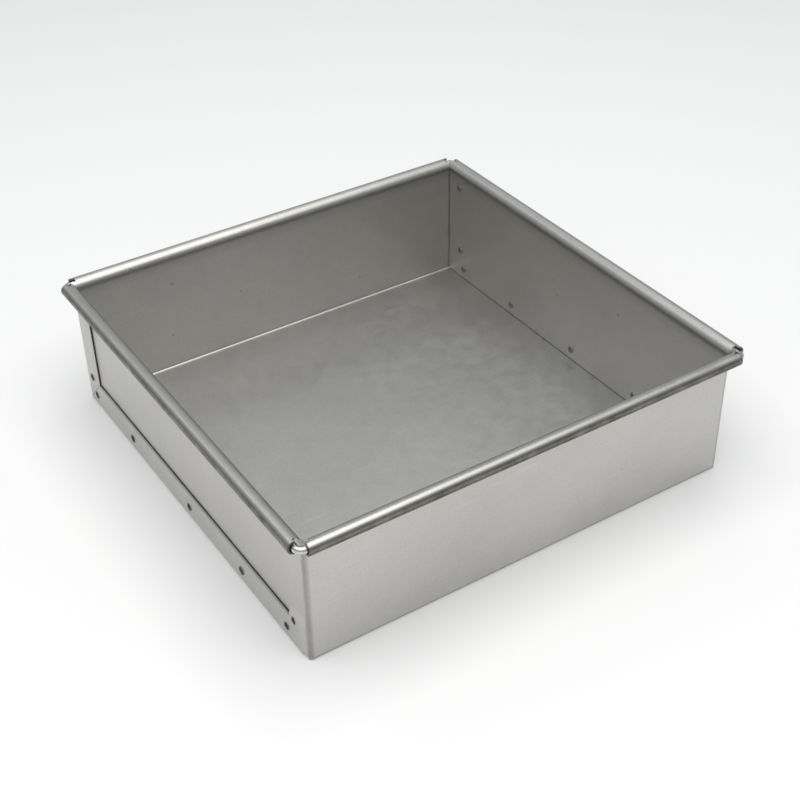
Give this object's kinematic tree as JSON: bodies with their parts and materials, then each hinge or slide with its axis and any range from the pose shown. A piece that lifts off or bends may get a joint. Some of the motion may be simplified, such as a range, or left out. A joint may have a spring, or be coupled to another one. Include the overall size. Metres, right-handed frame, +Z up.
{
  "type": "square cake pan",
  "caption": "Square, straight-sided baking pan folded from one aluminium sheet, with riveted laps and a rim rolled round a wire.",
  "frame": {"origin": "centre of the underside, where the pan rests", "axes": "+Z up out of the pan's mouth; -Y is the front wall; the two lapped and riveted walls face -X and +X"},
  "size_m": [0.2696, 0.2696, 0.078],
  "materials": {
    "sheet_aluminium": "natural mill finish, satin, lightly mottled",
    "rim_wire_steel": "bright drawn wire",
    "rivet_aluminium": "satin, dull bore"
  },
  "bodies": {
    "root": {"pan_sheet": "sheet_aluminium", "rim_wire": "rim_wire_steel", "left_lap_rivet_1": "rivet_aluminium", "left_lap_rivet_2": "rivet_aluminium", "left_lap_rivet_3": "rivet_aluminium", "left_lap_rivet_4": "rivet_aluminium", "left_lap_rivet_5": "rivet_aluminium", "left_ear_rivet": "rivet_aluminium", "left_back_rivet_low": "rivet_aluminium", "left_back_rivet_high": "rivet_aluminium", "right_lap_rivet_1": "rivet_aluminium", "right_lap_rivet_2": "rivet_aluminium", "right_lap_rivet_3": "rivet_aluminium", "right_lap_rivet_4": "rivet_aluminium", "right_lap_rivet_5": "rivet_aluminium", "right_ear_rivet": "rivet_aluminium", "right_back_rivet_low": "rivet_aluminium", "right_back_rivet_high": "rivet_aluminium"}
  },
  "joints": []
}
